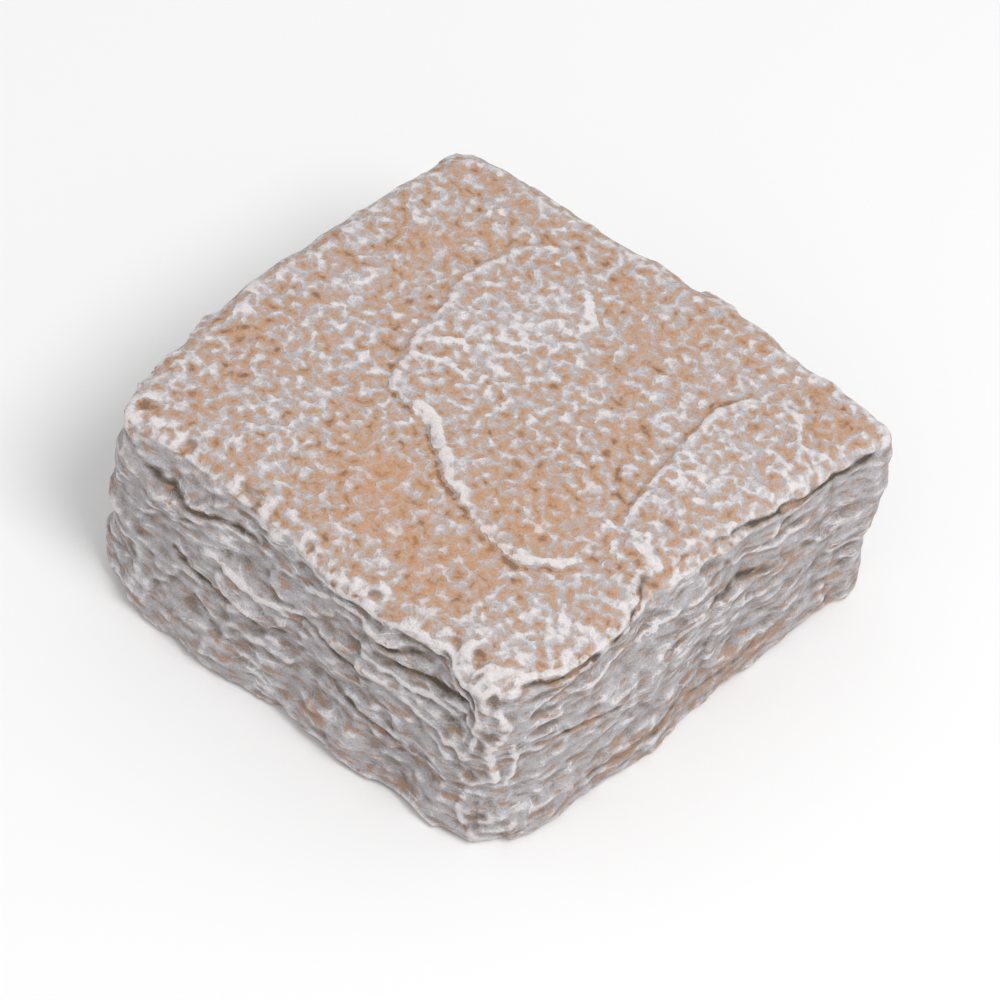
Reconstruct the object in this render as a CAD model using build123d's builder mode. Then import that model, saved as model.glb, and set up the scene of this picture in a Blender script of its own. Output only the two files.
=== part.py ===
from build123d import *
from math import cos, degrees, pi, radians, sin, sqrt
import os

# A hand-split and tumbled limestone paving sett, which is one block of bedded stone.
# It lies on its bed face, and the origin is the middle of that face. +X runs along the
# front side, +Y goes to the back, and +Z goes up to the worn top that is walked on.

# Overall sizes, in millimetres
length = 108.0
width = 106.0
thickness = 50.0

# How far each corner of the top stands from the corner of the length by width oblong
front_left_shift = (-0.5, -3.0)
front_right_shift = (-4.0, 1.2)
back_right_shift = (4.7, 3.8)
back_left_shift = (0.6, -5.3)

# The rounding of the four upright corners, in the same order, at the top and at the foot
top_roundings = (6.5, 3.5, 4.5, 5.5)
foot_roundings = (8.0, 8.5, 8.0, 9.0)
corner_points = 4

# The beds of the stone, from the top down. The middle bed is what is left between them.
flake_rise = 1.2
cap_bed = 4.6
upper_bed = 13.0
foot_bed = 11.0
ledge_height = 0.7

# How far the upper bed is set back under the cap, at the start and the end of each side
front_recess = (0.4, 2.8)
right_recess = (1.5, 0.9)
back_recess = (0.7, 1.3)
left_recess = (1.2, 0.5)

# What of that recess the bottom of the cap still has, and the top of the middle bed
recess_at_cap = 0.7
recess_at_middle = 0.2

# How far the middle bed is set back from the foot
foot_step = 0.8

# The uneven splitting of every bed: its depth, its waves along a side, how far each bed's
# waves are shifted from the next one's, and the height in which they shift by one wave
split_depth = 0.8
cap_split_depth = 0.1
split_waves = 3.1
bed_shift = 0.37
split_lean = 70.0

# The worn top edge and the blunt bottom edge: how far in and how far down each wears, and
# the share of that at which the wear turns steeper
top_wear_in = 2.3
top_wear_down = 1.9
bottom_wear_in = 1.6
bottom_wear_up = 2.0
wear_turn = 0.35

# The run of each side, from its first corner to its next: a share of the way between the
# two corner roundings, and how far the stone stands out there from a straight line, at
# the top and at the foot
front_run = (
    (0.06, 0.0, 3.0),
    (0.16, -0.8, 4.4),
    (0.25, -1.0, 4.6),
    (0.33, -1.7, 4.1),
    (0.41, -1.9, 3.0),
    (0.50, -1.5, 2.4),
    (0.61, 0.0, 2.4),
    (0.70, 0.2, 2.4),
    (0.84, -1.4, 1.6),
    (0.94, -0.2, 1.6),
)
right_run = (
    (0.06, 0.1, 1.6),
    (0.18, 1.5, 2.4),
    (0.29, 0.4, 2.9),
    (0.36, -2.0, 2.8),
    (0.42, -1.8, 2.0),
    (0.47, -0.2, 1.5),
    (0.64, -1.9, -1.0),
    (0.78, -0.5, -0.8),
    (0.88, -1.1, -1.6),
    (0.96, 0.0, -1.2),
)
back_run = (
    (0.06, 0.4, 0.8),
    (0.16, 0.7, 1.6),
    (0.25, 0.7, 1.8),
    (0.31, 2.0, 2.2),
    (0.38, 0.9, 2.4),
    (0.43, 2.7, 2.0),
    (0.50, 1.0, 1.2),
    (0.63, 1.2, 0.8),
    (0.77, 0.0, 1.5),
    (0.92, 0.6, 1.2),
)
left_run = (
    (0.05, 0.1, 0.4),
    (0.14, 1.8, 1.4),
    (0.27, 2.2, 1.7),
    (0.41, 2.6, 2.0),
    (0.48, 4.6, 2.6),
    (0.58, 4.3, 3.0),
    (0.68, 3.0, 3.1),
    (0.78, 2.2, 2.8),
    (0.88, 1.5, 2.0),
    (0.95, 0.8, 1.0),
)

# The hollows split out of the sides: side, share of the way along it, height, half its
# length, half its height, and how deep it goes
hollows = (
    ("front", 0.10, 26.0, 12.0, 11.0, 1.6),
    ("front", 0.34, 37.0, 13.0, 9.0, 1.9),
    ("front", 0.46, 18.0, 14.0, 9.0, 2.1),
    ("front", 0.74, 24.0, 13.0, 9.0, 1.7),
    ("front", 0.84, 10.0, 11.0, 6.0, 0.9),
    ("right", 0.12, 24.0, 13.0, 9.0, 1.5),
    ("right", 0.30, 38.0, 12.0, 8.0, 1.4),
    ("right", 0.52, 18.0, 15.0, 9.0, 1.8),
    ("right", 0.72, 36.0, 13.0, 9.0, 1.6),
    ("right", 0.90, 17.0, 12.0, 9.0, 1.5),
    ("back", 0.14, 18.0, 13.0, 10.0, 1.8),
    ("back", 0.30, 38.0, 13.0, 8.0, 1.6),
    ("back", 0.54, 24.0, 14.0, 10.0, 2.1),
    ("back", 0.78, 36.0, 13.0, 9.0, 1.7),
    ("back", 0.86, 12.0, 12.0, 9.0, 1.5),
    ("left", 0.12, 36.0, 12.0, 9.0, 1.6),
    ("left", 0.30, 19.0, 14.0, 9.0, 1.9),
    ("left", 0.56, 37.0, 14.0, 9.0, 1.8),
    ("left", 0.66, 12.0, 13.0, 9.0, 1.6),
    ("left", 0.90, 26.0, 12.0, 10.0, 1.7),
)

# The flakes, the thin beds that are left standing on the top. Each outline is placed from
# the middle of the top, and each flake thins out to nothing the way that it falls.
flake_root = 0.8
flake_edge_slope = 30.0
main_flake_fall = 1.3
main_flake_heading = 62.0
main_flake_outline = (
    (-21.0, -10.5),
    (-9.0, -11.5),
    (-2.0, -16.0),
    (5.0, -20.0),
    (16.0, -23.0),
    (28.0, -25.0),
    (36.0, -17.0),
    (35.0, -3.0),
    (20.0, 12.0),
    (-3.0, 32.0),
    (-10.0, 36.0),
    (-17.0, 42.5),
    (-26.5, 38.0),
    (-30.0, 24.0),
    (-26.5, 8.0),
    (-25.0, -1.0),
)
right_flake_fall = 2.4
right_flake_heading = 0.0
right_flake_outline = (
    (28.5, 33.0),
    (30.5, 15.0),
    (33.0, 2.0),
    (40.0, -6.0),
    (47.5, -4.0),
    (49.5, 8.0),
    (50.0, 22.0),
    (52.5, 36.0),
    (47.0, 45.0),
    (37.5, 44.0),
    (31.5, 40.0),
)

# The chips knocked out of the edges: side, share of the way along it, whether it is the
# top edge, the radius of the hollow, and how deep it bites
chips = (
    ("front", 0.0, True, 9.0, 1.6),
    ("front", 0.72, True, 7.0, 1.3),
    ("front", 1.0, True, 8.0, 1.5),
    ("front", 0.55, False, 14.0, 2.0),
    ("right", 0.41, True, 8.0, 1.7),
    ("right", 0.82, False, 12.0, 1.8),
    ("back", 0.0, True, 9.0, 1.8),
    ("back", 0.62, True, 11.0, 1.4),
    ("left", 0.27, True, 10.0, 1.4),
    ("left", 0.73, False, 15.0, 2.2),
)

# Heights worked out from the beds
top_of_body = thickness - flake_rise
under_cap = top_of_body - cap_bed
under_upper = under_cap - upper_bed

# Corners in the order that the sides join them, as seen from above: front left, front
# right, back right, back left
shifts = (front_left_shift, front_right_shift, back_right_shift, back_left_shift)
signs = ((-1, -1), (1, -1), (1, 1), (-1, 1))
corners = [
    Vector(sx * length / 2 + dx, sy * width / 2 + dy)
    for (sx, sy), (dx, dy) in zip(signs, shifts)
]
side_names = ("front", "right", "back", "left")
runs = dict(zip(side_names, (front_run, right_run, back_run, left_run)))
recesses = dict(zip(side_names, (front_recess, right_recess, back_recess, left_recess)))


def side_line(name):
    """The first corner of a side, the way along it, and the way out of it."""
    index = side_names.index(name)
    start, end = corners[index], corners[(index + 1) % 4]
    along = end - start
    outward = Vector(along.Y, -along.X).normalized()
    return start, along, outward


def side_point(name, share, out, radii):
    """A point beside a side, a share of the way between its two corner roundings."""
    start, along, outward = side_line(name)
    index = side_names.index(name)
    first, last = radii[index], radii[(index + 1) % 4]
    way = first + (along.length - first - last) * share
    return start + along.normalized() * way + outward * out


def hollow_depth(name, share, height):
    """How deep a point of a side is in its deepest hollow."""
    _, along, _ = side_line(name)
    depth = 0.0
    for side, place, middle_height, half_length, half_height, deep in hollows:
        if side == name:
            across = (share - place) * along.length / half_length
            up = (height - middle_height) / half_height
            depth = max(depth, deep * (1 - across**2 - up**2))
    return depth


def stands_out(name, share, at_top, at_foot, height, recess, bed):
    """How far one point of a side stands out, with its bed's own splitting."""
    first, last = recesses[name]
    set_back = first + (last - first) * share
    depth = split_depth if bed else cap_split_depth
    wave = split_waves * share + bed_shift * bed + height / split_lean
    uneven = depth * sin(pi * share) * sin(2 * pi * wave)
    line = at_foot + (at_top - at_foot) * height / top_of_body
    return line - recess * set_back + uneven - hollow_depth(name, share, height)


def corner_arc(name, radius, inset):
    """The points that round the first corner of a side, on an arc tangent to both sides."""
    start, _, outward = side_line(name)
    _, _, before = side_line(side_names[side_names.index(name) - 1])
    turn = radians(before.get_angle(outward))
    centre = start - (before + outward).normalized() * radius / cos(turn / 2)
    steps = [turn * step / (corner_points - 1) for step in range(corner_points)]
    return [centre + before.rotate(Axis.Z, degrees(step)) * (radius - inset) for step in steps]


def section(height, inset, recess, bed):
    """The points of one level outline."""
    radii = [
        foot + (top - foot) * height / top_of_body
        for top, foot in zip(top_roundings, foot_roundings)
    ]
    points = []
    for name, radius in zip(side_names, radii):
        points += corner_arc(name, radius, inset)
        for share, at_top, at_foot in runs[name]:
            out = stands_out(name, share, at_top, at_foot, height, recess, bed)
            points.append(side_point(name, share, out - inset, radii))
    return points


# Where each bed starts and ends, half a ledge clear of the next one
half_ledge = ledge_height / 2
middle_start = foot_bed + half_ledge
middle_end = under_upper - half_ledge
upper_start = under_upper + half_ledge
upper_end = under_cap - half_ledge
middle_third = (middle_end - middle_start) / 3

# The level outlines from the bed face up: height, how far in from the side, how much of
# the upper bed's recess it has, and which bed it is in, where 0 is the cap
levels = (
    (0.0, bottom_wear_in, 0.0, 3),
    (bottom_wear_up * wear_turn, bottom_wear_in * wear_turn, 0.0, 3),
    (bottom_wear_up, 0.0, 0.0, 3),
    ((bottom_wear_up + foot_bed) / 2, 0.0, 0.0, 3),
    (foot_bed - half_ledge, 0.0, 0.0, 3),
    (middle_start, foot_step, 0.0, 2),
    (middle_start + middle_third, foot_step, 0.0, 2),
    (middle_end - middle_third, 0.0, 0.0, 2),
    (middle_end, 0.0, recess_at_middle, 2),
    (upper_start, 0.0, 1.0, 1),
    ((upper_start + upper_end) / 2, 0.0, 1.0, 1),
    (upper_end, 0.0, recess_at_cap, 1),
    (under_cap + half_ledge, 0.0, 0.0, 0),
    (top_of_body - top_wear_down, 0.0, 0.0, 0),
    (top_of_body - top_wear_down * wear_turn, top_wear_in * wear_turn, 0.0, 0),
    (top_of_body, top_wear_in, 0.0, 0),
)

# The middle of the widest outline goes over the origin
outlines = [section(*level) for level in levels]
every_point = [point for outline in outlines for point in outline]
middle = Vector(
    (min(p.X for p in every_point) + max(p.X for p in every_point)) / 2,
    (min(p.Y for p in every_point) + max(p.Y for p in every_point)) / 2,
)


def make_flake(outline, fall, heading):
    """A flake rooted in the top, whose upper face falls away to nothing on one side."""
    toward = Vector(cos(radians(heading)), sin(radians(heading)))
    places = [Vector(*point) - middle for point in outline]
    high_end = min(places, key=lambda place: place.dot(toward))
    tilt = Vector(toward.X * sin(radians(fall)), toward.Y * sin(radians(fall)), cos(radians(fall)))
    slope = Plane(origin=(high_end.X, high_end.Y, thickness), z_dir=tilt)
    with BuildPart() as flake:
        with BuildSketch(Plane.XY.offset(top_of_body - flake_root)):
            with BuildLine():
                Polyline(*places, close=True)
            make_face()
        extrude(amount=flake_root + flake_rise, taper=flake_edge_slope)
        split(bisect_by=slope, keep=Keep.BOTTOM)
    return flake.part


def chip_centre(name, share, at_top, hollow_radius, bite):
    """The centre of a round hollow that bites into an edge at 45 degrees."""
    _, _, outward = side_line(name)
    _, top_out, foot_out = min(runs[name], key=lambda knot: abs(knot[0] - share))
    away = (hollow_radius - bite) / sqrt(2)
    if at_top:
        edge = side_point(name, share, top_out, top_roundings)
        height = top_of_body + away
    else:
        edge = side_point(name, share, foot_out, foot_roundings)
        height = -away
    place = edge - middle + outward * away
    return (place.X, place.Y, height)


main_flake = make_flake(main_flake_outline, main_flake_fall, main_flake_heading)
right_flake = make_flake(right_flake_outline, right_flake_fall, right_flake_heading)

with BuildPart() as chip_hollows:
    for chip in chips:
        with Locations(chip_centre(*chip)):
            Sphere(radius=chip[3])

with BuildPart() as sett:
    for (height, *_), outline in zip(levels, outlines):
        with BuildSketch(Plane.XY.offset(height)):
            with BuildLine():
                Polyline(*[point - middle for point in outline], close=True)
            make_face()
    loft(ruled=True)
    add(main_flake)
    add(right_flake)
    add(chip_hollows.part, mode=Mode.SUBTRACT)

os.makedirs("parts", exist_ok=True)
sett.part.label = "limestone_sett"
export_step(sett.part, "parts/limestone_sett.step")
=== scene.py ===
import itertools
import math

import bmesh
import bpy
import numpy as np
from mathutils import Matrix, Vector


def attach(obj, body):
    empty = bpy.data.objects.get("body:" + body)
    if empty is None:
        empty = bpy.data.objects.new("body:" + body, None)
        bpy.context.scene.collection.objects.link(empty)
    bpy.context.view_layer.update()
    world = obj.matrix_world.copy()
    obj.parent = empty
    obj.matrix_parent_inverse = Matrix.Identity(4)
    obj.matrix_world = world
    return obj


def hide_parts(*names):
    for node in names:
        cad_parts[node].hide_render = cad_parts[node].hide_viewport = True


# A hand-split and tumbled limestone paving sett. The shape comes from the frame's solid,
# and this script splits, wears and colours its surface. Sculpting sizes are millimetres.

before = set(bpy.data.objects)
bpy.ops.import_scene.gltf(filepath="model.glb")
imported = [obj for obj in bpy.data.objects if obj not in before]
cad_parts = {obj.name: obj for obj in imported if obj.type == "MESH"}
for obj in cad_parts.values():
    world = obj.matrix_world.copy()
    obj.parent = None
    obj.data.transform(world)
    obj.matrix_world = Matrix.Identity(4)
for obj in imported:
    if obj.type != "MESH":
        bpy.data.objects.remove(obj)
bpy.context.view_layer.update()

MM = 0.001
NODE = "limestone_sett"
SEED = 20

# The camera, which is turned towards the stone from where the photograph was taken
CAMERA_PLACE = Vector((0.55439, -0.74828, 1.20937))
CAMERA_TARGET = Vector((0.0031, 0.0012, 0.0244))
CAMERA_ROLL = math.radians(-8.08)
CAMERA_LENS = 270.0
CAMERA_SENSOR = 36.0

# The floor and the light, in metres, watts and shares of white
FLOOR_REACH = 3.0
FLOOR_COLOUR = (0.9, 0.9, 0.9, 1)
SKY_COLOUR = (1, 1, 1, 1)
SKY_STRENGTH = 0.7
LAMP_PLACE = Vector((0.60, -0.10, 1.09))
LAMP_TARGET = Vector((0, 0, 0.02))
LAMP_WIDTH = 0.6
LAMP_POWER = 7.6

# Sculpting, in millimetres: the width of the mesh's cells, the thickness of the beds, how
# far the sides and the foot of the front corner stand out past the solid, the relief of
# the top's lines and of the finest streaks, and the limits of a crevice and a side's ridge
CELL = 0.7
BED_THINNEST = 1.6
BED_THICKEST = 5.5
SIDE_GROWTH = 0.5
FOOT_CORNER_GROWTH = 1.3
LINE_RELIEF = 0.35
STREAK_RELIEF = 0.15
CREVICE_DEEPEST = 2.6
RIDGE_HIGHEST = 1.2

# How much flatter the right side is than the others, and the share of a crevice's depth
# that is carved, since the rest of its darkness is painted shade in its colour
RIGHT_FLATTER = 0.4
CREVICE_CARVED = 0.6

# Heights above the foot, in millimetres, from which something starts and is whole: the
# waving of the beds, the chips, and the finest streaks
BEDS_WAVE = (0.5, 5.0)
CHIPS_RISE = (3.0, 10.0)
STREAKS_RISE = (0.3, 2.0)

# Heights up to which something is whole, and from which it is gone: the growth of the
# front corner's foot, and the brown of the lowest beds
FOOT_CORNER_FADE = (3.0, 18.0)
BROWN_FADE = (2.0, 14.0)

# How far out towards the front corner, as x less y, its foot starts to grow and is whole
FOOT_CORNER_REACH = (78.0, 98.0)

# Depths under the top, in millimetres, from which something starts and is whole: the
# carving of the top, its colour, the pale wear of its edges, and the beds' lying still
CARVED_TOP = (8.0, 5.0)
COLOURED_TOP = (6.0, 3.5)
PALE_TOP = (8.0, 4.5)
STILL_TOP = (6.0, 2.0)

# Where the upper edges' pale wear starts and is whole: out towards the front, out towards
# the right, and forward along the right side, in millimetres
PALE_FRONT = (22.0, 46.0)
PALE_RIGHT = (30.0, 48.0)
PALE_FORWARD = (-35.0, 10.0)

# Layers of noise. Each has its height, the size of its lumps, and a shift that only makes
# it differ from the others of its size.
BED_WAVES = ((1.6, 34, 3.1), (0.6, 9, 8.4))
BED_LUMPS = ((0.6, 12, 0.0), (0.45, 5, 5.5))
LEVEL_WAVES = ((1.3, 22, 9.2), (0.5, 7, 3.3))
TOP_SWELLS = ((0.5, 32, 2.2), (0.28, 12, 4.4), (0.16, 4.5, 6.1), (0.12, 2.4, 1.7))
RIDGE_WIDTHS = ((0.7, 7.0, 3.9), (0.55, 1.7, 9.2))
CHIP_LUMPS = ((1.0, 5.5, 21.0), (0.5, 2.2, 2.9))
RAGGED_WEAR = ((0.14, 4.0, 9.9), (0.12, 1.9, 2.3))

# Shaking of places: how far it goes, the size of its lumps, and a shift for each axis. The
# wandering of the edges has two layers, and the borders of the facets have one.
WANDERS = ((0.65, (9, 9, 7), (11.3, 17.9)), (0.5, (4, 4, 2.4), (1.3, 7.9)))
FACET_SHAKE = (0.9, 4, (31.3, 37.9, 43.1))

# The size of the finest streaks, and how far apart in the noise one bed is from the next
STREAKS = (4.5, 4.5, 1.6)
BEDS_APART = (0, 0, 37.7)

# Broken facets: the size of each, how tilted it is, how far one steps from the next, and
# a shift as the layers of noise have
LARGE_FACETS = {"size": (17, 17, 9), "tilt": 1.1, "step": 0.8, "shift": 2.5}
MIDDLING_FACETS = {"size": (8, 8, 3.6), "tilt": 0.75, "step": 0.75, "shift": 7.5}
SMALL_FACETS = {"size": (4.2, 4.2, 2.2), "tilt": 0.25, "step": 0.25, "shift": 4.5}
LARGE_CHIPS = {"size": (5, 5, 5), "tilt": 1.2, "step": 1.0, "shift": 6.5}
SMALL_CHIPS = {"size": (2.6, 2.6, 2.2), "tilt": 0.7, "step": 0.8, "shift": 3.5}

# Widths of the marks in the stone's colour, in millimetres
GRAIN = 0.4
BLOTCHES = 4.5
SPECKS = 2.15
WORMS = 3.2
COOL_SPOTS = 2.2
LAYERS = 2.1
THREADS = 3.2
DASHES = 1.25
LIVELY_PARTS = 13.0

# Rounds of smoothing that tell what stands out: small lumps, wide ones, and whole edges
SMALL_ROUNDS = 3
WIDE_ROUNDS = 12
EDGE_ROUNDS = 40

# Further than any line or facet reaches
FAR = 99.0

# How far inside the line of a flake's edge its pale ridge and dark groove are, and half of
# their widths and of the thin ridges' width. The groove's darkness is painted shade at the
# foot of the flake's step.
FLAKE_RIDGE_PLACE = 1.3
FLAKE_RIDGE_HALF = 1.5
FLAKE_GROOVE_PLACE = 0.1
FLAKE_GROOVE_HALF = 0.9
THIN_RIDGE_HALF = 1.4

# The edge of the main flake and of the right one, and the thin ridges on the top. Each
# point is x, y and how strongly the edge stands out there. The flake is on the left of it.
FLAKE_EDGES = (
    (
        (-1.5, 25.5, 0.2),
        (-2.6, 30.5, 0.8),
        (-6.0, 36.5, 0.8),
        (-12.0, 42.0, 0.6),
        (-19.0, 44.0, 0.5),
        (-26.5, 38.0, 0.5),
        (-30.0, 24.0, 0.35),
        (-26.5, 8.0, 0.5),
        (-25.0, -1.0, 0.8),
        (-21.0, -10.5, 1.0),
        (-9.0, -11.5, 1.0),
        (-2.0, -16.0, 1.0),
        (5.0, -20.0, 1.0),
        (16.0, -23.0, 1.0),
        (28.0, -25.0, 1.0),
        (36.0, -17.0, 0.8),
        (37.0, -8.0, 0.2),
    ),
    (
        (50.5, 40.5, 0.7),
        (44.0, 45.5, 0.7),
        (38.3, 48.0, 0.5),
        (33.0, 45.5, 0.4),
        (30.5, 40.0, 0.5),
        (28.5, 33.0, 0.6),
        (30.5, 15.0, 0.6),
        (33.0, 2.0, 0.6),
        (40.0, -6.0, 0.55),
        (47.5, -4.0, 0.55),
        (49.5, 8.0, 0.4),
    ),
)
RIDGES = (
    ((-17.0, -8.0, 0.6), (-8.0, -9.3, 1.0), (-1.5, -13.0, 0.9), (3.0, -16.5, 0.4)),
    ((24.0, -21.5, 0.5), (30.0, -21.0, 1.0), (35.0, -15.0, 0.7)),
    ((-22.6, -0.5, 0.7), (-15.3, 3.6, 1.0), (-8.3, 2.8, 1.0), (-7.5, 7.5, 0.4)),
    ((-9.5, 37.0, 0.8), (-2.9, 32.2, 1.0), (-3.0, 28.0, 0.4)),
    ((-25.0, 4.5, 0.5), (-18.0, 9.0, 0.7), (-12.0, 7.0, 0.3)),
    ((33.8, -3.4, 0.8), (42.9, -0.6, 1.0), (51.0, -3.1, 0.8)),
    ((34.0, 6.0, 0.6), (38.5, 9.5, 0.8), (36.5, 15.0, 0.5)),
    ((14.0, -11.0, 0.4), (22.0, -14.0, 0.8), (28.0, -13.0, 0.6)),
)

# Small pits: x, y, half length, half width, turn in degrees, depth. Their darker colour is
# partly brown and partly painted shade.
PITS = (
    (38.6, -47.8, 2.7, 1.5, -50, 0.9),
    (-50.5, -49.9, 2.4, 1.8, 20, 0.8),
    (53.5, -6.5, 2.8, 1.2, 25, 1.5),
)

# How far the upper edge of the front side is worn back: the way along it, and how far
FRONT_WEAR = (
    (-56.0, 0.0),
    (-50.0, 2.5),
    (-42.0, 4.2),
    (-30.0, 4.2),
    (-20.0, 3.0),
    (-12.0, 1.8),
    (-4.0, 0.8),
    (4.0, 0.2),
    (9.0, 0.8),
    (17.0, 3.4),
    (23.0, 4.0),
    (33.0, 3.4),
    (39.0, 2.6),
    (46.0, 1.3),
    (52.0, 0.3),
)

# How far the upper edge of the right side is worn back, in the same way
RIGHT_WEAR = (
    (-54.0, 1.5),
    (-44.0, 1.8),
    (-33.0, 1.3),
    (-21.0, 2.4),
    (-11.0, 2.2),
    (-6.0, 3.8),
    (6.0, 4.4),
    (15.0, 2.3),
    (27.0, 1.9),
    (34.0, 2.4),
    (41.0, 3.2),
    (50.0, 2.0),
    (58.0, 0.0),
)

# The wear of both edges starts this far out and up, and is whole at the second number
WEAR_ZONE = (36.0, 50.0)

# The corner between those sides, how far its top is worn back along the front side, how
# far around it that reaches, and the height from which it is whole
FRONT_CORNER = (51.0, -53.0)
CORNER_WEAR = 2.8
CORNER_REACH = 18.0
CORNER_HEIGHT = 30.0

# Spots of the top that have no speckles: x, y, half length, half width, turn in degrees
BARE_SPOTS = (
    (-50.0, -21.5, 5.0, 3.0, 30),
    (-26.5, -2.5, 2.4, 1.8, 0),
    (26.0, 6.5, 2.6, 2.0, 20),
    (29.5, 2.5, 2.8, 1.9, 60),
    (11.0, -38.0, 3.0, 1.8, 10),
)

# Pale bare spots of the top: x, y, half length, half width, turn in degrees
PALE_SPOTS = (
    (-9.0, -9.5, 4.5, 2.0, -35),
    (-21.5, -8.0, 3.0, 2.2, 20),
    (-7.0, 9.5, 3.6, 1.6, 10),
    (-5.5, 33.0, 3.4, 1.6, -60),
    (38.0, -5.0, 3.4, 2.2, -20),
    (48.5, -4.5, 4.0, 1.6, -30),
    (46.0, -27.0, 9.0, 3.5, 15),
    (45.0, -40.0, 3.0, 2.0, 80),
    (46.0, -48.0, 7.5, 6.0, 45),
    (35.0, -51.0, 6.0, 3.0, 0),
)

# Which way each side faces, and whether places along it are measured on x (0) or y (1)
SIDES = {
    "front": ((0, -1), 0),
    "right": ((1, 0), 1),
    "back": ((0, 1), 0),
    "left": ((-1, 0), 1),
}
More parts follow.
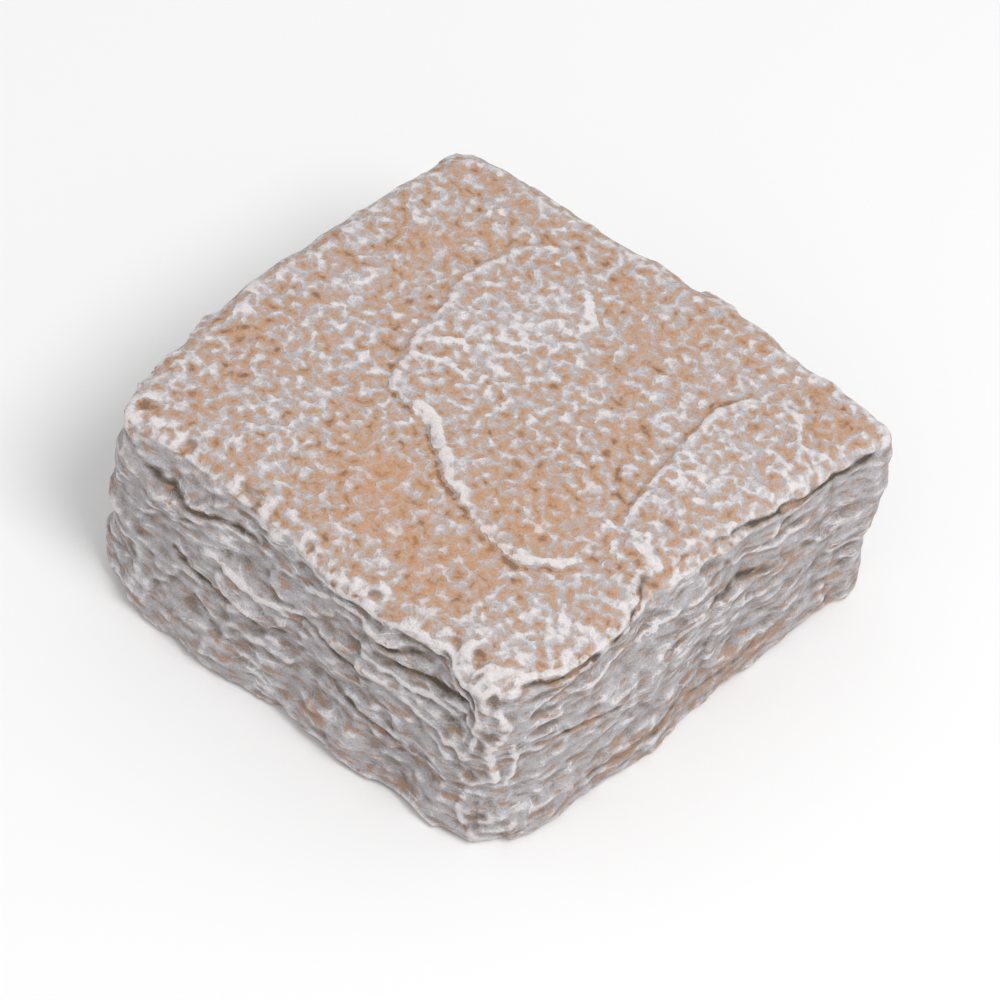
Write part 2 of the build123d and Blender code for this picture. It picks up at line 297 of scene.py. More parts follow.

# Crevices of the sides: the way along the side, the height, and how deep it is there.
# Below zero it is a ridge, and stands out that far. The material paints the crevices
# darker, as painted shade with some grime, and the ridges paler.
SIDE_LINES = (
    ("front", 1.8, ((18.0, 35.0, 0.7), (25.0, 36.0, 1.1), (32.0, 37.0, 1.2), (38.0, 38.3, 1.1))),
    ("front", 1.8, ((38.0, 38.3, 1.1), (44.5, 39.8, 0.6))),
    ("front", 1.3, ((17.0, 38.3, 0.6), (20.0, 38.7, 1.1), (25.0, 40.9, 1.0), (29.0, 41.5, 0.5))),
    ("front", 1.2, ((31.5, 46.0, 0.6), (33.5, 45.4, 1.1), (37.5, 43.3, 1.2), (43.5, 41.8, 0.9))),
    ("front", 0.9, ((32.5, 49.0, 0.5), (35.0, 48.2, 1.1), (38.5, 47.2, 0.9), (42.0, 46.0, 0.5))),
    ("front", 0.7, ((32.0, 47.4, -0.5), (35.0, 46.5, -0.9), (39.5, 45.0, -0.8), (43.5, 44.0, -0.4))),
    ("front", 0.8, ((31.5, 43.6, -0.5), (35.5, 42.0, -0.9), (43.5, 40.4, -0.8))),
    ("front", 1.0, ((13.5, 32.6, -0.7), (21.0, 32.4, -1.0), (26.5, 32.0, -1.2), (31.0, 33.8, -1.2))),
    ("front", 1.0, ((31.0, 33.8, -1.2), (35.0, 33.3, -1.0), (40.0, 32.0, -0.7))),
    ("front", 0.9, ((26.0, 28.5, -0.5), (36.0, 28.0, -0.8), (44.0, 26.5, -0.6))),
    ("front", 1.0, ((-2.0, 38.0, -0.5), (8.0, 41.0, -0.9), (20.0, 40.5, -0.6))),
    ("front", 1.2, ((2.0, 30.0, 0.7), (9.0, 27.5, 1.0), (18.0, 27.5, 0.6))),
    ("front", 1.2, ((-44.0, 41.0, 0.9), (-30.0, 38.5, 1.3), (-14.0, 39.5, 0.9))),
    ("front", 1.2, ((-34.0, 24.0, 0.8), (-20.0, 21.0, 1.1), (-6.0, 22.0, 0.7))),
    ("front", 1.2, ((8.0, 18.0, 0.7), (22.0, 15.5, 1.0), (33.0, 17.0, 0.5))),
    ("front", 1.0, ((-25.0, 31.0, -0.5), (-12.0, 29.0, -0.9), (-2.0, 31.0, -0.6))),
    ("front", 0.9, ((25.0, 24.0, -0.5), (34.0, 25.5, -0.8), (41.0, 23.0, -0.6))),
    ("front", 1.0, ((44.0, 44.0, -0.7), (46.5, 38.0, -1.0), (45.0, 31.0, -0.9), (43.0, 24.0, -0.5))),
    ("front", 0.9, ((44.5, 16.0, -0.8), (43.0, 11.0, -0.9), (44.0, 5.0, -0.6))),
    ("right", 1.4, ((-52.0, 48.0, 1.2), (-45.0, 47.8, 1.4), (-36.0, 46.3, 1.4), (-21.0, 44.8, 1.8))),
    ("right", 1.3, ((-21.0, 44.8, 1.4), (-10.0, 47.3, 1.5), (17.0, 46.8, 1.6), (37.0, 45.2, 1.8))),
    ("right", 1.3, ((37.0, 45.2, 1.8), (50.0, 46.0, 1.1))),
    ("right", 1.0, ((-49.0, 43.0, -0.7), (-47.0, 38.0, -1.0), (-50.0, 32.0, -1.0), (-48.0, 22.0, -0.8))),
    ("right", 0.9, ((-46.0, 32.0, -0.6), (-44.5, 26.0, -0.9), (-46.0, 19.0, -0.6))),
    ("right", 1.1, ((-40.0, 27.5, 0.5), (-30.0, 25.5, 0.9), (-20.0, 24.5, 0.6))),
    ("right", 1.1, ((6.0, 33.0, 0.5), (22.0, 31.5, 0.9), (36.0, 30.0, 0.6))),
    ("right", 0.8, ((-34.0, 40.0, -0.5), (-26.0, 37.5, -0.8), (-16.0, 38.5, -0.5))),
    ("right", 0.8, ((-12.0, 36.0, -0.5), (-2.0, 38.5, -0.8), (8.0, 38.0, -0.5))),
    ("right", 0.8, ((14.0, 39.0, -0.5), (24.0, 36.5, -0.8), (34.0, 38.0, -0.5))),
    ("right", 1.1, ((-30.0, 8.0, 0.5), (-6.0, 7.0, 0.8), (22.0, 8.0, 0.6))),
    ("back", 1.3, ((-12.0, 42.5, 0.6), (5.0, 41.0, 0.9), (22.0, 39.0, 1.0), (44.0, 41.0, 0.7))),
    ("back", 1.2, ((-8.0, 40.0, -0.7), (6.0, 38.5, -0.7), (22.0, 36.5, -0.7), (38.0, 38.5, -0.7))),
    ("back", 1.3, ((-38.0, 22.0, 0.6), (-22.0, 20.0, 0.9), (-6.0, 22.0, 0.9), (12.0, 24.0, 0.5))),
    ("back", 1.1, ((-34.0, 19.5, -0.7), (-20.0, 17.5, -0.6), (-4.0, 19.5, -0.5))),
    ("back", 1.0, ((-46.0, 32.0, -0.5), (-25.0, 35.0, -0.9), (-8.0, 33.0, -0.5))),
    ("back", 1.1, ((16.0, 14.0, 0.6), (30.0, 11.5, 1.0), (46.0, 13.0, 0.6))),
    ("back", 0.9, ((10.0, 28.5, -0.5), (28.0, 27.0, -0.9), (42.0, 30.0, -0.5))),
    ("left", 1.3, ((-45.0, 38.0, 0.6), (-28.0, 36.5, 0.9), (-8.0, 38.5, 1.0), (20.0, 36.0, 0.7))),
    ("left", 1.1, ((-38.0, 34.5, -0.7), (-24.0, 33.5, -0.7), (-6.0, 35.5, -0.6))),
    ("left", 1.3, ((-24.0, 20.0, 0.6), (-6.0, 18.0, 0.9), (14.0, 17.0, 0.9), (34.0, 19.5, 0.6))),
    ("left", 1.0, ((-8.0, 15.5, -0.8), (12.0, 14.5, -0.6), (28.0, 16.5, -0.4))),
    ("left", 0.9, ((2.0, 29.0, -0.5), (20.0, 27.0, -0.9), (38.0, 30.0, -0.6))),
    ("left", 1.0, ((-44.0, 11.0, 0.6), (-32.0, 9.0, 0.9), (-20.0, 10.5, 0.5))),
)

# Small brown holes: the way along the side, the height, half width, half height, depth
HOLES = (
    ("front", 49.5, 45.0, 0.9, 2.4, 1.3),
    ("right", -50.0, 35.5, 1.4, 1.5, 1.4),
    ("right", -50.5, 22.5, 1.0, 1.5, 1.3),
    ("front", 46.5, 9.0, 1.1, 2.6, 1.4),
    ("front", 47.0, 36.5, 0.9, 1.3, 1.3),
    ("front", 45.0, 20.5, 1.2, 1.2, 0.9),
    ("front", 42.5, 48.0, 1.0, 0.8, 0.9),
    ("front", 32.0, 48.3, 1.6, 0.5, 0.7),
    ("front", 13.5, 48.0, 1.9, 0.5, 0.8),
    ("front", 8.5, 47.2, 0.8, 0.6, 0.8),
    ("front", -4.0, 48.2, 1.3, 0.5, 0.7),
    ("front", -21.0, 48.0, 2.2, 0.6, 0.7),
    ("front", -38.0, 48.0, 1.4, 0.5, 0.7),
    ("right", -46.5, 48.6, 3.0, 0.8, 1.3),
    ("right", -9.0, 48.0, 1.6, 1.1, 1.3),
    ("right", 12.0, 40.5, 1.2, 0.9, 0.8),
    ("right", 28.0, 41.5, 1.2, 0.9, 0.8),
)

# Brown stains on the sides: the middle, half length and half height
STAINS = (
    ((50.5, -51.5, 39.0), 2.2, 5.0),
    ((51.0, -51.5, 30.0), 3.0, 3.0),
    ((48.5, -54.0, 6.0), 4.0, 6.0),
    ((30.0, -55.0, 12.0), 8.0, 2.5),
    ((6.0, -58.0, 8.0), 9.0, 2.5),
    ((51.5, -30.0, 25.5), 11.0, 3.0),
    ((54.0, -14.0, 38.0), 7.0, 3.0),
    ((55.0, 24.0, 30.0), 12.0, 3.0),
    ((53.0, -18.0, 8.0), 12.0, 5.0),
    ((55.0, 12.0, 7.0), 18.0, 6.0),
    ((52.0, -34.0, 46.0), 10.0, 1.8),
    ((56.0, 26.0, 46.0), 16.0, 1.8),
)

# Places where the top is more orange, or paler: x, y, half size, strength
WARM_PLACES = (
    (-6.0, -27.0, 14.0, 0.8),
    (18.0, -34.0, 12.0, 0.9),
    (22.0, -9.0, 11.0, 0.7),
    (-45.0, -20.0, 9.0, 0.7),
    (-28.0, 2.0, 7.0, 0.6),
    (22.0, 17.0, 6.0, 0.7),
    (51.0, 47.0, 4.5, 1.0),
    (-35.0, 25.0, 12.0, 0.4),
    (10.0, 45.0, 14.0, 0.4),
    (-36.0, -15.0, 12.0, -0.7),
    (-14.0, 16.0, 12.0, -1.3),
    (-8.0, 28.0, 9.0, -1.1),
    (40.0, 22.0, 13.0, -1.2),
    (-8.0, -10.0, 4.0, -1.0),
    (44.0, -30.0, 9.0, -0.8),
)

# Colours as they show on a screen, from 0 to 255. In the palettes each one comes after
# how pale the stone is there, as a number that the material works out.
TOP_COLOURS = (
    (0.24, (138, 110, 92)),
    (0.34, (181, 144, 118)),
    (0.43, (191, 160, 139)),
    (0.50, (187, 176, 173)),
    (0.57, (203, 197, 198)),
    (0.67, (223, 216, 215)),
)
SIDE_COLOURS = (
    # The darkest stop shows where the crevices' painted shade darkens the sides
    (0.24, (88, 79, 71)),
    (0.38, (148, 138, 132)),
    (0.46, (176, 170, 171)),
    (0.53, (188, 184, 187)),
    (0.62, (216, 212, 214)),
)
WORN_COLOURS = (
    (0.40, (150, 118, 96)),
    (0.465, (188, 166, 152)),
    (0.505, (207, 199, 197)),
    (0.59, (221, 215, 215)),
)
COOL_GREY = (179, 179, 186)
ORANGE = (202, 148, 102)
TAN = (172, 134, 106)
HOLE_DARK = (116, 98, 84)
HOLE_LIGHT = (156, 128, 106)

# How the marks on the sides are drawn out along the beds: the layers, and the tan dashes
LAYER_SQUASH = (0.42, 0.42, 1.0)
DASH_SQUASH = (0.3, 0.3, 1.0)

random = np.random.default_rng(SEED)
SHUFFLED = random.permutation(256)
GRADIENTS = random.normal(size=(256, 3))
GRADIENTS /= np.linalg.norm(GRADIENTS, axis=1)[:, None]
JITTER = random.random((256, 3))


def hashed(cells):
    """A number from 0 to 255 for each whole-numbered cell, the same in every run."""
    mixed = SHUFFLED[cells[:, 2] & 255]
    mixed = SHUFFLED[(mixed + cells[:, 1]) & 255]
    return SHUFFLED[(mixed + cells[:, 0]) & 255]


def noise(places, size, shift=0.0):
    """Smooth noise from about -1 to 1, with lumps of about the given size.

    The shift only makes one noise differ from another of the same size.
    """
    scaled = places / np.asarray(size, float) + shift
    cells = np.floor(scaled).astype(int)
    inside = scaled - cells
    ease = inside ** 3 * (inside * (inside * 6 - 15) + 10)
    total = np.zeros(len(places))
    for corner in itertools.product((0, 1), repeat=3):
        corner = np.array(corner)
        slope = GRADIENTS[hashed(cells + corner)]
        height = (slope * (inside - corner)).sum(1)
        total += height * np.where(corner, ease, 1 - ease).prod(1)
    return total * 1.5


def layered(places, layers):
    """The sum of layers of noise, each given by its height, size and shift."""
    return sum(height * noise(places, size, shift) for height, size, shift in layers)


def shaken(places, reach, size, shifts):
    """How far each place is shaken, along as many axes as there are shifts."""
    return reach * np.stack([noise(places, size, shift) for shift in shifts], axis=1)


def ramp(values, start, end):
    """0 at start, 1 at end, and smooth between them."""
    share = np.clip((values - start) / (end - start), 0, 1)
    return share * share * (3 - 2 * share)


def near_top(places, thickness, zone):
    """0 below a zone under the top, 1 above it, and smooth between its two depths."""
    return ramp(places[:, 2], thickness - zone[0], thickness - zone[1])


def read_mesh(mesh):
    """The places in millimetres and the normals of a mesh's points."""
    places = np.zeros(len(mesh.vertices) * 3, np.float32)
    mesh.vertices.foreach_get("co", places)
    normals = np.zeros(len(mesh.vertices) * 3, np.float32)
    mesh.vertices.foreach_get("normal", normals)
    return places.reshape(-1, 3) / MM, normals.reshape(-1, 3).astype(float)


def write_places(mesh, places):
    mesh.vertices.foreach_set("co", (places * MM).astype(np.float32).ravel())
    mesh.update()


def remeshed(piece, cell):
    """Gives the piece an even mesh of cells of one size."""
    remesh = piece.modifiers.new("even_cells", "REMESH")
    remesh.mode = "VOXEL"
    remesh.voxel_size = cell * MM
    apply_modifiers(piece)


def smoothed_places(piece, rounds):
    """The places of the piece's points after smoothing, with the piece left as it is."""
    smooth = piece.modifiers.new("smooth", "SMOOTH")
    smooth.iterations = rounds
    smooth.factor = 0.5
    evaluated = piece.evaluated_get(bpy.context.evaluated_depsgraph_get())
    places, _ = read_mesh(evaluated.to_mesh())
    evaluated.to_mesh_clear()
    piece.modifiers.remove(smooth)
    return places


def apply_modifiers(piece):
    evaluated = piece.evaluated_get(bpy.context.evaluated_depsgraph_get())
    made = bpy.data.meshes.new_from_object(evaluated)
    piece.modifiers.clear()
    old = piece.data
    piece.data = made
    bpy.data.meshes.remove(old)


def make_stone():
    """A copy of the frame's solid with an even mesh, ready for sculpting."""
    stone = bpy.data.objects.new("stone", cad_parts[NODE].data.copy())
    bpy.context.scene.collection.objects.link(stone)
    stone.data.materials.clear()
    remeshed(stone, CELL)
    return stone


def bed_edges(thickness):
    """The heights of the splits between the beds, from the foot to the top."""
    edges = [0.0]
    while edges[-1] < thickness + BED_THICKEST:
        edges.append(edges[-1] + random.uniform(BED_THINNEST, BED_THICKEST))
    return np.array(edges)


def facets(places, size, tilt, step, shift):
    """Broken facets side by side, each tilted its own way and standing at its own depth."""
    scaled = places / np.asarray(size, float) + shift
    cells = np.floor(scaled).astype(int)
    nearest = np.full(len(places), FAR)
    height = np.zeros(len(places))
    for offset in itertools.product((-1, 0, 1), repeat=3):
        other = cells + np.array(offset)
        number = hashed(other)
        inside = scaled - other - JITTER[number]
        away = (inside ** 2).sum(1)
        raised = tilt * (inside * GRADIENTS[number]).sum(1) + step * (number / 255 - 0.5)
        height = np.where(away < nearest, raised, height)
        nearest = np.minimum(away, nearest)
    return height + 0.5 * tilt * nearest


def split_sides(places):
    """How far each point of the sides stands out, split along wavy, stepped beds."""
    flat = places * (1, 1, 0)
    wavy = places[:, 2] + layered(flat, BED_WAVES)
    edges = bed_edges(places[:, 2].max())
    bed = np.clip(np.searchsorted(edges, wavy), 1, len(edges) - 1)
    along = flat + np.array(BEDS_APART) * bed[:, None]
    beds = layered(along, BED_LUMPS)
    rough = ramp(noise(places, 16, 4.2), -0.3, 0.5)
    uneven = places + shaken(places, *FACET_SHAKE)
    large = facets(uneven, **LARGE_FACETS)
    middling = facets(uneven, **MIDDLING_FACETS)
    small = facets(uneven, **SMALL_FACETS)
    return SIDE_GROWTH + large + (0.7 * beds + middling) * (0.35 + 0.65 * rough) + small * rough


def worn_back(places):
    """The shift that wears back the upper edges of two sides, and the corner between them."""
    right = np.interp(places[:, 1], *zip(*RIGHT_WEAR)) * ramp(places[:, 0], *WEAR_ZONE)
    front = np.interp(places[:, 0], *zip(*FRONT_WEAR)) * ramp(-places[:, 1], *WEAR_ZONE)
    shift = np.c_[-right, front] * ramp(places[:, 2], *WEAR_ZONE)[:, None]
    away = np.linalg.norm(places[:, :2] - FRONT_CORNER, axis=1)
    corner = CORNER_WEAR * (1 - ramp(away, 0, CORNER_REACH))
    shift[:, 0] -= corner * ramp(places[:, 2], 0, CORNER_HEIGHT)
    return shift


def wandered(places):
    """The shift that wears edges back and takes the straightness out of edges and beds."""
    broad, tight = WANDERS
    shift = shaken(places, *broad) + shaken(places, *tight) + worn_back(places)
    thickness = places[:, 2].max()
    still = near_top(places, thickness, STILL_TOP)
    between = ramp(places[:, 2], *BEDS_WAVE) * (1 - still)
    return np.c_[shift, layered(places * (1, 1, 0), LEVEL_WAVES) * between]


def unwandered(places):
    """Where each place was before its wandered shift was added."""
    before = places
    for _ in range(3):
        before = places - wandered(before)
    return before


def beside(flat, line):
    """How far each place is to the left of a line, and the line's strength beside it."""
    nearest = np.full(len(flat), FAR)
    strength = np.zeros(len(flat))
    for start, end in zip(line[:-1], line[1:]):
        along = np.subtract(end, start)[:2]
        offset = flat - np.array(start)[:2]
        share = np.clip(offset @ along / (along @ along), 0, 1)
        distance = np.linalg.norm(offset - share[:, None] * along, axis=1)
        side = along[0] * offset[:, 1] - along[1] * offset[:, 0]
        closer = distance < np.abs(nearest)
        nearest = np.where(closer, np.copysign(distance, side), nearest)
        strength = np.where(closer, start[2] + (end[2] - start[2]) * share, strength)
    return nearest, strength


def bump(values, middle, half_width):
    """1 in the middle, and 0 half a width away from it."""
    return 1 - ramp(np.abs(values - middle), 0, half_width)


def top_lines(places):
    """How strongly each place is on a pale ridge, and in the groove beside one, which the material
    paints dark as painted shade.
    """
    flat = places[:, :2]
    wide = 1 + layered(places, RIDGE_WIDTHS)
    whole = ramp(noise(places, 5.0, 14.2), -0.6, 0.1)
    ridge = np.zeros(len(places))
    groove = np.zeros(len(places))
    for line in FLAKE_EDGES:
        left, strength = beside(flat, line)
        left += 0.5 * noise(places, 1.5, 6.6)
        strength *= np.maximum(whole, ramp(strength, 0.7, 1))
        on_ridge = bump(left, FLAKE_RIDGE_PLACE, FLAKE_RIDGE_HALF * wide)
        in_groove = bump(left, FLAKE_GROOVE_PLACE, FLAKE_GROOVE_HALF)
        ridge = np.maximum(ridge, strength * on_ridge)
        groove = np.maximum(groove, strength ** 2 * in_groove)
    for line in RIDGES:
        left, strength = beside(flat, line)
        left += 0.6 * noise(places, 1.5, 6.6)
        ridge = np.maximum(ridge, strength * bump(left, 0, THIN_RIDGE_HALF * wide))
    return ridge, groove


def inside_oval(places, x, y, length, width, turn):
    """1 well inside a flat oval, and 0 outside it."""
    angle = math.radians(turn)
    offset = places[:, :2] - (x, y)
    along = offset @ (math.cos(angle), math.sin(angle)) / length
    across = offset @ (-math.sin(angle), math.cos(angle)) / width
    return 1 - ramp(np.hypot(along, across) + 0.2 * noise(places, 2.0, 5.1), 0.5, 1.15)


def pitted(places):
    """How deep each place is in a pit, and how much of a pit's colour it has."""
    depth = np.zeros(len(places))
    inside = np.zeros(len(places))
    for *oval, deep in PITS:
        share = inside_oval(places, *oval)
        depth = np.maximum(depth, deep * share)
        inside = np.maximum(inside, share)
    return depth, inside


def creviced(places, normals):
    """How deep each place is in a crevice of the sides, and below zero on a ridge."""
    depth = np.zeros(len(places))
    for side, half_width, line in SIDE_LINES:
        direction, axis = SIDES[side]
        facing = ramp(normals[:, :2] @ direction, 0.2, 0.6)
        left, deep = beside(places[:, (axis, 2)], line)
        away = np.abs(left) + 0.5 * noise(places, 2.5, 2.9)
        depth += deep * facing * (1 - ramp(away, 0.1, half_width))
    depth = np.clip(depth, -RIDGE_HIGHEST, CREVICE_DEEPEST)
    return depth * ramp(noise(places, 6, 8.1), -0.8, -0.2)


def holed(places, normals):
    """How deep each place is in one of the small holes, and how far inside it is."""
    depth = np.zeros(len(places))
    inside = np.zeros(len(places))
    for side, along, height, width, tall, deep in HOLES:
        direction, axis = SIDES[side]
        facing = ramp(normals[:, :2] @ direction, 0.15, 0.5)
        away = np.hypot((places[:, axis] - along) / width, (places[:, 2] - height) / tall)
        share = facing * (1 - ramp(away + 1.1 * noise(places, 1.4, 6.3), 0.4, 1.5))
        depth = np.maximum(depth, deep * share)
        inside = np.maximum(inside, share)
    return depth, inside


def stained(places):
    """How much of the brown of a stain each place of the sides has."""
    total = np.zeros(len(places))
    for middle, length, height in STAINS:
        away = np.linalg.norm((places - middle) / (length, length, height), axis=1)
        total = np.maximum(total, 1 - ramp(away + 0.5 * noise(places, 3, 4.7), 0.4, 1.2))
    return total


def warmth(places):
    """How orange each place of the top is, and below zero how pale."""
    total = 0.35 * noise(places, 12, 8.8)
    for x, y, size, strength in WARM_PLACES:
        away = np.hypot(places[:, 0] - x, places[:, 1] - y) / size
        total += strength * np.exp(-away ** 2)
    return total


def bitten(places):
    """How much has broken off each place, where it is on an edge."""
    bite = 1.5 * ramp(layered(places, CHIP_LUMPS), 0.25, 0.9)
    bite += 0.6 * ramp(noise(places, 2.4, 12.0), 0.2, 0.5)
    bite += 0.5 * facets(places, **LARGE_CHIPS)
    bite += 0.5 * facets(places, **SMALL_CHIPS)
    return bite * (0.5 + 0.5 * ramp(places[:, 2], *CHIPS_RISE))


def standing_out(stone, places, normals, rounds):
    """How far each point stands out from the stone as some rounds of smoothing leave it."""
    return ((places - smoothed_places(stone, rounds)) * normals).sum(1)


def sculpt(stone):
    """Splits the sides and wears the top and edges of the stone."""
    places, normals = read_mesh(stone.data)
    thickness = places[:, 2].max()
    edge = ramp(standing_out(stone, places, normals, WIDE_ROUNDS), 0.05, 0.4)
    upright = 1 - ramp(np.abs(normals[:, 2]), 0.45, 0.9)
    facing_up = ramp(normals[:, 2], 0.4, 0.9) * near_top(places, thickness, CARVED_TOP)
    outward = normals * (1, 1, 0)
    outward /= np.maximum(np.linalg.norm(outward, axis=1), 1e-3)[:, None]
    on_right = ramp(outward[:, 0], 0.3, 0.7)

    moved = places + wandered(places)
    cut = creviced(places, normals)
    split = split_sides(places) * (1 - RIGHT_FLATTER * on_right)
    split -= cut * np.where(cut > 0, CREVICE_CARVED, 1)
    moved += outward * (split * upright)[:, None]
    ridge, groove = top_lines(places)
    depth, _ = pitted(places)
    raised = layered(places * (1, 1, 0), TOP_SWELLS)
    raised += LINE_RELIEF * ridge
    raised -= LINE_RELIEF * groove + depth
    moved[:, 2] += raised * facing_up
    hole, _ = holed(places, normals)
    moved -= normals * (edge * bitten(places) + hole)[:, None]
    foot_corner = ramp(places[:, 0] - places[:, 1], *FOOT_CORNER_REACH)
    foot_corner *= 1 - ramp(places[:, 2], *FOOT_CORNER_FADE)
    moved += outward * (FOOT_CORNER_GROWTH * foot_corner * upright)[:, None]
    moved[:, 2] = np.maximum(moved[:, 2], 0)
    write_places(stone.data, moved)
    remeshed(stone, CELL)


def store(mesh, name, values):
    """Keeps one number, or one vector, at each point of the mesh."""
    kind = "FLOAT" if values.ndim == 1 else "FLOAT_VECTOR"
    attribute = mesh.attributes.new(name, kind, "POINT")
    key = "value" if kind == "FLOAT" else "vector"
    attribute.data.foreach_set(key, values.astype(np.float32).ravel())


def colour(red, green, blue):
    """A colour written as it shows on a screen, from 0 to 255, as a shader takes it."""
    return tuple(((c / 255 + 0.055) / 1.055) ** 2.4 for c in (red, green, blue)) + (1.0,)


class Graph:
    """Short ways to add nodes to a material."""

    def __init__(self, tree):
        self.tree = tree

    def add(self, kind, **settings):
        node = self.tree.nodes.new(kind)
        for name, value in settings.items():
            setattr(node, name, value)
        return node

    def link(self, source, target):
        if hasattr(source, "is_output"):
            self.tree.links.new(source, target)
        else:
            target.default_value = source

    def noise(self, place, width, detail=2.0, roughness=0.5, distortion=0.0, squash=None):
        """Noise with lumps about as wide as the given millimetres, 0 to 1."""
        if squash:
            place = self.vector("MULTIPLY", place, squash)
        node = self.add("ShaderNodeTexNoise")
        self.link(place, node.inputs["Vector"])
        node.inputs["Scale"].default_value = 1 / (width * MM)
        node.inputs["Detail"].default_value = detail
        node.inputs["Roughness"].default_value = roughness
        node.inputs["Distortion"].default_value = distortion
        return node.outputs[0]

    def vector(self, operation, first, second):
        node = self.add("ShaderNodeVectorMath", operation=operation)
        self.link(first, node.inputs[0])
        self.link(second, node.inputs[1])
        return node.outputs[0]

    def math(self, operation, first, second=0.0):
        node = self.add("ShaderNodeMath", operation=operation)
        self.link(first, node.inputs[0])
        self.link(second, node.inputs[1])
        return node.outputs[0]

    def ramp(self, value, start, end, low=0.0, high=1.0):
        """low up to start, high from end, and smooth between them."""
        node = self.add("ShaderNodeMapRange", interpolation_type="SMOOTHSTEP")
        self.link(value, node.inputs["Value"])
        node.inputs["From Min"].default_value = start
        node.inputs["From Max"].default_value = end
        node.inputs["To Min"].default_value = low
        node.inputs["To Max"].default_value = high
        return node.outputs[0]

    def threads(self, place, width, thickness, **settings):
        """1 on thin winding lines and 0 past their thickness, from noise of a width."""
        away = self.math("SUBTRACT", self.noise(place, width, **settings), 0.5)
        return self.ramp(self.math("ABSOLUTE", away), 0.0, thickness, low=1.0, high=0.0)

    def sum(self, *shares):
        """The sum of values, each given with what it is multiplied by."""
        total = 0.0
        for value, factor in shares:
            total = self.math("ADD", total, self.math("MULTIPLY", value, factor))
        return total

    def mix(self, share, first, second, blend="MIX"):
        node = self.add("ShaderNodeMix", data_type="RGBA", blend_type=blend)
        self.link(share, node.inputs[0])
        self.link(first, node.inputs[6])
        self.link(second, node.inputs[7])
        return node.outputs[2]

    def bump(self, height):
        """Relief too fine for the mesh, from its height in millimetres."""
        node = self.add("ShaderNodeBump")
        node.inputs["Strength"].default_value = 1.0
        node.inputs["Distance"].default_value = MM
        self.link(height, node.inputs["Height"])
        return node.outputs[0]

    def palette(self, value, stops):
        """The colour at a value, from the colours at a few values."""
        node = self.add("ShaderNodeValToRGB")
        self.link(value, node.inputs[0])
        elements = node.color_ramp.elements
        while len(elements) < len(stops):
            elements.new(1.0)
        for element, (position, shade) in zip(elements, stops):
            element.position = position
            element.color = colour(*shade)
        return node.outputs[0]

    def stored(self, name, vector=False):
        """What was kept at the mesh's points under a name."""
        node = self.add("ShaderNodeAttribute", attribute_name=name)
        return node.outputs["Vector" if vector else "Fac"]


def spread(values, where):
    """The values as shares of their usual size in a part of the stone, from -2 to 2."""
    usual = np.percentile(np.abs(values[where]), 80)
    return np.clip(values / usual, -2, 2)


def top_share(places, normals):
    """1 on the top, 0 on the sides, and a ragged change between them."""
    thickness = places[:, 2].max()
    share = ramp(normals[:, 2] + 0.25 * noise(places, 3.0, 5.0), 0.35, 0.8)
    return share * near_top(places, thickness, COLOURED_TOP)


def worn_pale(places, normals, edge, thickness):
    """How worn and pale each place is: most along the front and right upper edges."""
    ragged = edge + layered(places, RAGGED_WEAR)
    arris = ramp(ragged, 0.1, 0.26) * near_top(places, thickness, PALE_TOP)
    toward_front = ramp(-places[:, 1], *PALE_FRONT)
    toward_right = ramp(places[:, 0], *PALE_RIGHT) * ramp(-places[:, 1], *PALE_FORWARD)
    arris *= 0.3 + 0.7 * np.maximum(toward_front, toward_right)
    arris *= ramp(normals[:, 2] + 0.3 * noise(places, 2.5, 4.9), -0.1, 0.4)
    return np.maximum(arris, 0.85 * ramp(ragged, 0.22, 0.42))


def finish_surface(stone):
    """Adds the finest relief, and keeps what the material needs to know."""
    mesh = stone.data
    places, normals = read_mesh(mesh)
    thickness = places[:, 2].max()
    top = top_share(places, normals)
    streaks = STREAK_RELIEF * noise(places, STREAKS, 7.7)
    height = streaks * (1 - top) * ramp(places[:, 2], *STREAKS_RISE)
    places = places + normals * height[:, None]
    write_places(mesh, places)

    small = standing_out(stone, places, normals, SMALL_ROUNDS)
    wide = standing_out(stone, places, normals, WIDE_ROUNDS)
    edge = standing_out(stone, places, normals, EDGE_ROUNDS)
    level = top > 0.5
    upright = (top < 0.1) & (places[:, 2] > 1)
    proud_top = spread(small, level) + 0.7 * spread(wide, level)
    proud_side = spread(small, upright) + spread(wide, upright)
    store(mesh, "rest", places * MM)
    store(mesh, "top", top)
    # The material paints what stands out a little paler and hollows a little darker: painted light and
    # shade
    store(mesh, "proud", proud_top * top + proud_side * (1 - top))
    store(mesh, "arris", worn_pale(places, normals, edge, thickness))

    straight = unwandered(places)
    ridge, groove = top_lines(straight)
    _, pit = pitted(straight)
    _, hole = holed(straight, normals)
    bare = np.max([inside_oval(straight, *spot) for spot in BARE_SPOTS], axis=0)
    pale = np.max([inside_oval(straight, *spot) for spot in PALE_SPOTS], axis=0)
    low = 1 - ramp(places[:, 2] + 2.5 * noise(places, 9, 6.6), *BROWN_FADE)
    store(mesh, "ridge", ridge * top)
    # Painted shade: the material darkens the top by this along the flakes' feet and, with some brown, in
    # the pits
    store(mesh, "groove", np.maximum(groove, 0.6 * pit) * top)
    store(mesh, "warm", warmth(straight))
    store(mesh, "bare", pale - bare)
    # Painted shade with some grime: the material darkens the sides' crevices by this, and lightens their
    # ridges
    store(mesh, "crevice", creviced(straight, normals) * (1 - top))
    store(mesh, "brown", 0.5 * low + stained(places))
    store(mesh, "hole", hole)


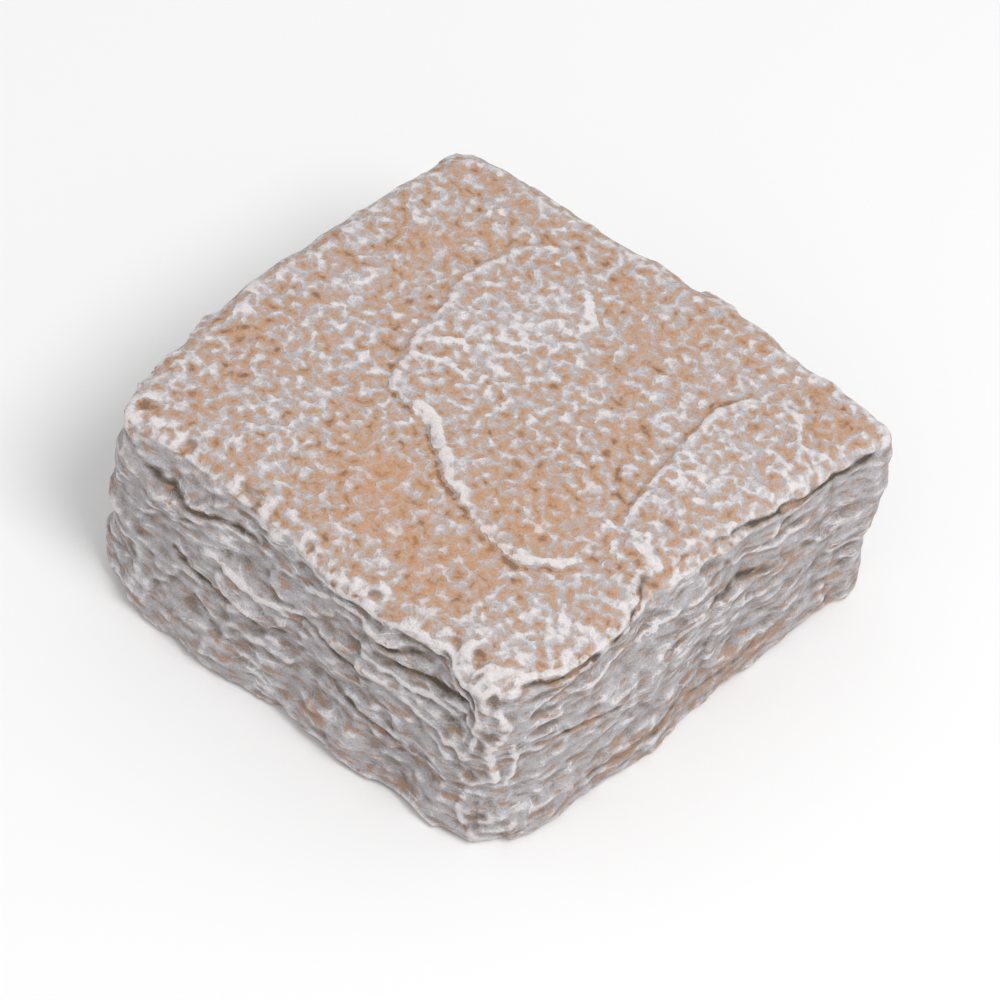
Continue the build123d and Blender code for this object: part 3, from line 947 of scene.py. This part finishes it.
def colour_top(graph, rest, specks, grain, blotches):
    """The colour of the top, with painted shade in its grooves and pits, and how pale each place of it
    is.
    """
    warm = graph.stored("warm")
    worms = graph.threads(rest, WORMS, 0.08, detail=0.5, roughness=0.5, distortion=0.8)
    speckle = graph.sum(
        (specks, 0.72),
        (worms, 0.06),
        (blotches, 0.09),
        (grain, 0.09),
        # painted light and shade: a little paler where the top stands out, darker in hollows
        (graph.stored("proud"), 0.02),
        (warm, -0.05),
        (graph.stored("ridge"), 0.17),
        # painted shade along the flakes' feet and, with some brown, in the pits
        (graph.stored("groove"), -0.2),
        (graph.stored("bare"), 0.11),
        (1.0, 0.009),
    )
    shade = graph.palette(speckle, TOP_COLOURS)
    cool = graph.ramp(graph.noise(rest, COOL_SPOTS, detail=1.0), 0.56, 0.66, high=0.5)
    shade = graph.mix(cool, shade, colour(*COOL_GREY))
    orange = graph.ramp(graph.sum((warm, 0.4), (blotches, 0.8)), 0.4, 0.9, high=0.38)
    return graph.mix(orange, shade, colour(*ORANGE)), speckle


def colour_sides(graph, rest, grain, blotches):
    """The colour of the sides, with painted shade in their crevices, and how pale each place of them is.
    """
    layers = graph.noise(
        rest, LAYERS, detail=1.2, roughness=0.45, distortion=0.4, squash=LAYER_SQUASH
    )
    threads = graph.threads(
        rest, THREADS, 0.04, detail=1.0, roughness=0.5, distortion=1.0, squash=LAYER_SQUASH
    )
    lively = graph.noise(rest, LIVELY_PARTS, detail=2.0)
    lively = graph.ramp(lively, 0.4, 0.62, low=0.25, high=1.1)
    layers = graph.math("MULTIPLY", graph.math("SUBTRACT", layers, 0.5), lively)
    threads = graph.math("MULTIPLY", threads, lively)
    broken = graph.sum(
        (layers, 0.45),
        (threads, 0.1),
        (grain, 0.12),
        (blotches, 0.11),
        # painted light and shade: a little paler where a side stands out, darker in hollows
        (graph.stored("proud"), 0.035),
        # painted shade with some grime in the crevices, and paler on the ridges
        (graph.stored("crevice"), -0.19),
        (1.0, 0.362),
    )
    shade = graph.palette(broken, SIDE_COLOURS)
    dashes = graph.noise(
        rest, DASHES, detail=1.5, roughness=0.5, distortion=0.4, squash=DASH_SQUASH
    )
    dashes = graph.sum(
        (dashes, 1.0),
        (graph.stored("brown"), 0.12),
        (layers, -0.45),
        (threads, -0.05),
    )
    tan = graph.ramp(dashes, 0.57, 0.68, high=0.65)
    return graph.mix(tan, shade, colour(*TAN)), broken


def make_limestone():
    """Matt limestone: peach and tan with pale speckles on top, grey and streaked beside."""
    material = bpy.data.materials.new("limestone")
    material.use_nodes = True
    graph = Graph(material.node_tree)
    surface = material.node_tree.nodes["Principled BSDF"]
    rest = graph.stored("rest", vector=True)
    top = graph.stored("top")
    grain = graph.noise(rest, GRAIN, detail=3.0, roughness=0.6)
    blotches = graph.noise(rest, BLOTCHES, detail=2.0)
    specks = graph.noise(rest, SPECKS, detail=0.8, roughness=0.45, distortion=0.35)
    top_colour, speckle = colour_top(graph, rest, specks, grain, blotches)
    side_colour, broken = colour_sides(graph, rest, grain, blotches)

    shade = graph.mix(top, side_colour, top_colour)
    worn = graph.palette(graph.sum((speckle, 0.75), (broken, 0.25)), WORN_COLOURS)
    shade = graph.mix(graph.stored("arris"), shade, worn)
    hollow = graph.ramp(specks, 0.45, 0.55)
    hollow = graph.mix(hollow, colour(*HOLE_DARK), colour(*HOLE_LIGHT))
    shade = graph.mix(graph.math("MULTIPLY", graph.stored("hole"), 0.6), shade, hollow)
    grainy = graph.ramp(grain, 0.3, 0.7, low=0.9, high=1.08)
    shade = graph.mix(1.0, shade, grainy, blend="MULTIPLY")
    graph.link(shade, surface.inputs["Base Color"])
    surface.inputs["Specular IOR Level"].default_value = 0.25
    surface.inputs["Roughness"].default_value = 0.9

    off_top = graph.math("SUBTRACT", 1.0, top)
    top_relief = graph.math("MULTIPLY", graph.ramp(speckle, 0.4, 0.62), top)
    side_relief = graph.math("MULTIPLY", graph.ramp(broken, 0.3, 0.6), off_top)
    relief = graph.sum((top_relief, 0.22), (side_relief, 0.4), (grain, 0.17))
    graph.link(graph.bump(relief), surface.inputs["Normal"])
    return material


def lighten_foot(stone):
    """Joins the faces of the flat bed face into one, since nothing is carved there."""
    shape = bmesh.new()
    shape.from_mesh(stone.data)
    flat = [face for face in shape.faces if all(point.co.z < 0.01 * MM for point in face.verts)]
    bmesh.ops.dissolve_faces(shape, faces=flat, use_verts=False)
    loose = [point for point in shape.verts if not point.link_faces]
    bmesh.ops.delete(shape, geom=loose, context="VERTS")
    shape.to_mesh(stone.data)
    shape.free()


def make_floor():
    reach = FLOOR_REACH
    corners = [(-reach, -reach, 0), (reach, -reach, 0), (reach, reach, 0), (-reach, reach, 0)]
    mesh = bpy.data.meshes.new("floor")
    mesh.from_pydata(corners, [], [(0, 1, 2, 3)])
    floor = bpy.data.objects.new("floor", mesh)
    bpy.context.scene.collection.objects.link(floor)
    paint = bpy.data.materials.new("floor_paint")
    paint.use_nodes = True
    surface = paint.node_tree.nodes["Principled BSDF"]
    surface.inputs["Base Color"].default_value = FLOOR_COLOUR
    surface.inputs["Roughness"].default_value = 0.9
    mesh.materials.append(paint)


def make_light():
    world = bpy.data.worlds.new("studio")
    bpy.context.scene.world = world
    world.use_nodes = True
    sky = world.node_tree.nodes["Background"]
    sky.inputs["Color"].default_value = SKY_COLOUR
    sky.inputs["Strength"].default_value = SKY_STRENGTH
    lamp = bpy.data.lights.new("softbox", "AREA")
    lamp.shape = "DISK"
    lamp.size = LAMP_WIDTH
    lamp.energy = LAMP_POWER
    softbox = bpy.data.objects.new("softbox", lamp)
    bpy.context.scene.collection.objects.link(softbox)
    softbox.location = LAMP_PLACE
    toward = LAMP_TARGET - LAMP_PLACE
    softbox.rotation_euler = toward.to_track_quat("-Z", "Y").to_euler()


def make_camera():
    data = bpy.data.cameras.new("camera")
    data.lens = CAMERA_LENS
    data.sensor_width = CAMERA_SENSOR
    data.clip_start = 0.05
    data.clip_end = 20.0
    camera = bpy.data.objects.new("camera", data)
    bpy.context.scene.collection.objects.link(camera)
    level = (CAMERA_TARGET - CAMERA_PLACE).to_track_quat("-Z", "Y").to_matrix().to_4x4()
    camera.matrix_world = (
        Matrix.Translation(CAMERA_PLACE) @ level @ Matrix.Rotation(-CAMERA_ROLL, 4, "Z")
    )
    bpy.context.scene.camera = camera


stone = make_stone()
sculpt(stone)
lighten_foot(stone)
finish_surface(stone)
for face in stone.data.polygons:
    face.use_smooth = True
stone.data.materials.append(make_limestone())
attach(stone, "root")
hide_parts(NODE)
make_floor()
make_light()
make_camera()
bpy.context.scene.view_settings.view_transform = "Standard"
